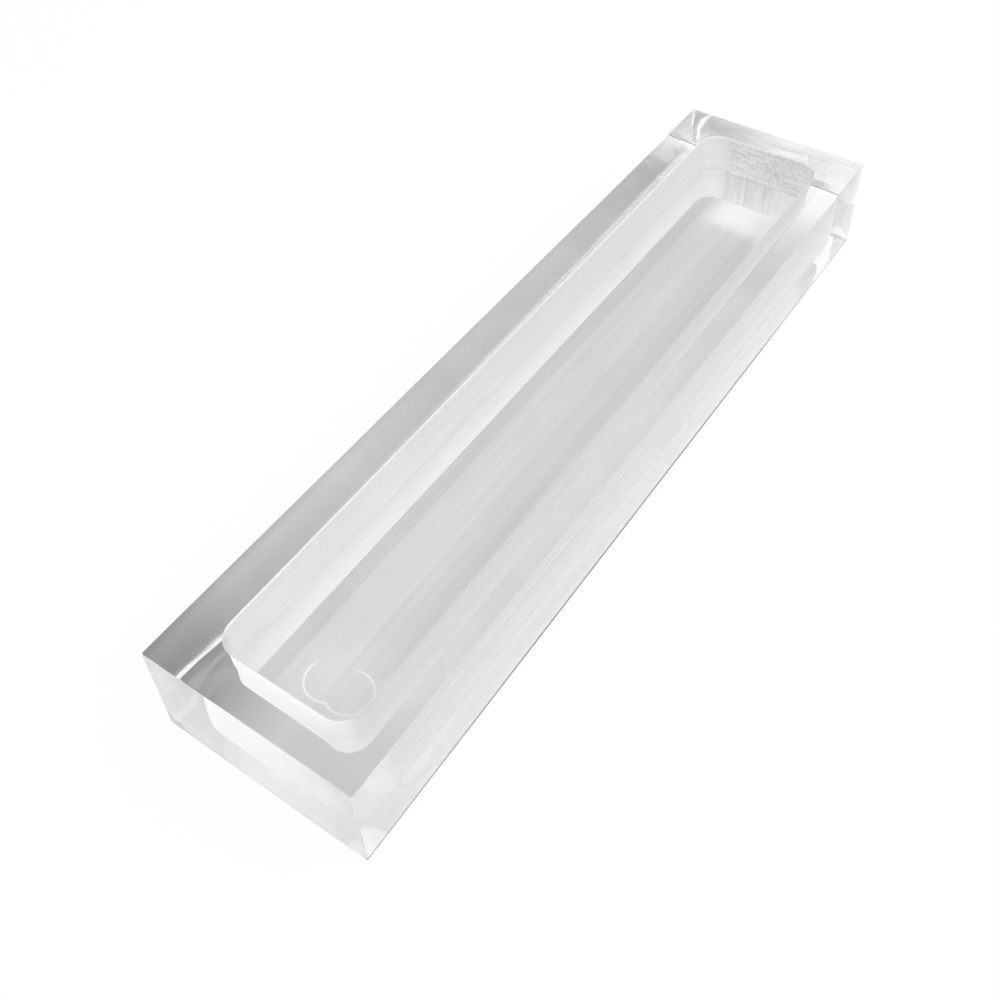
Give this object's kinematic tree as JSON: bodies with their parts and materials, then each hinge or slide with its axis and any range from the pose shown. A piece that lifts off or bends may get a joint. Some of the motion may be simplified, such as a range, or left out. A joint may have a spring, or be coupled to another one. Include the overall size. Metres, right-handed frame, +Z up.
{
  "type": "soap loaf mould",
  "caption": "Long clear acrylic block with a round-cornered tray milled into its top face, for casting a slim bar of soap, wax or resin.",
  "frame": {"origin": "middle of the block's underside, on the surface it stands on", "axes": "+X along the block's length, +Y across its width, +Z up towards the tray's mouth"},
  "size_m": [0.254, 0.06, 0.03],
  "materials": {
    "clear_acrylic": "clear cast acrylic, polished outside, milled and slightly frosted in the tray"
  },
  "bodies": {
    "root": {"mould_block": "clear_acrylic"}
  },
  "joints": []
}
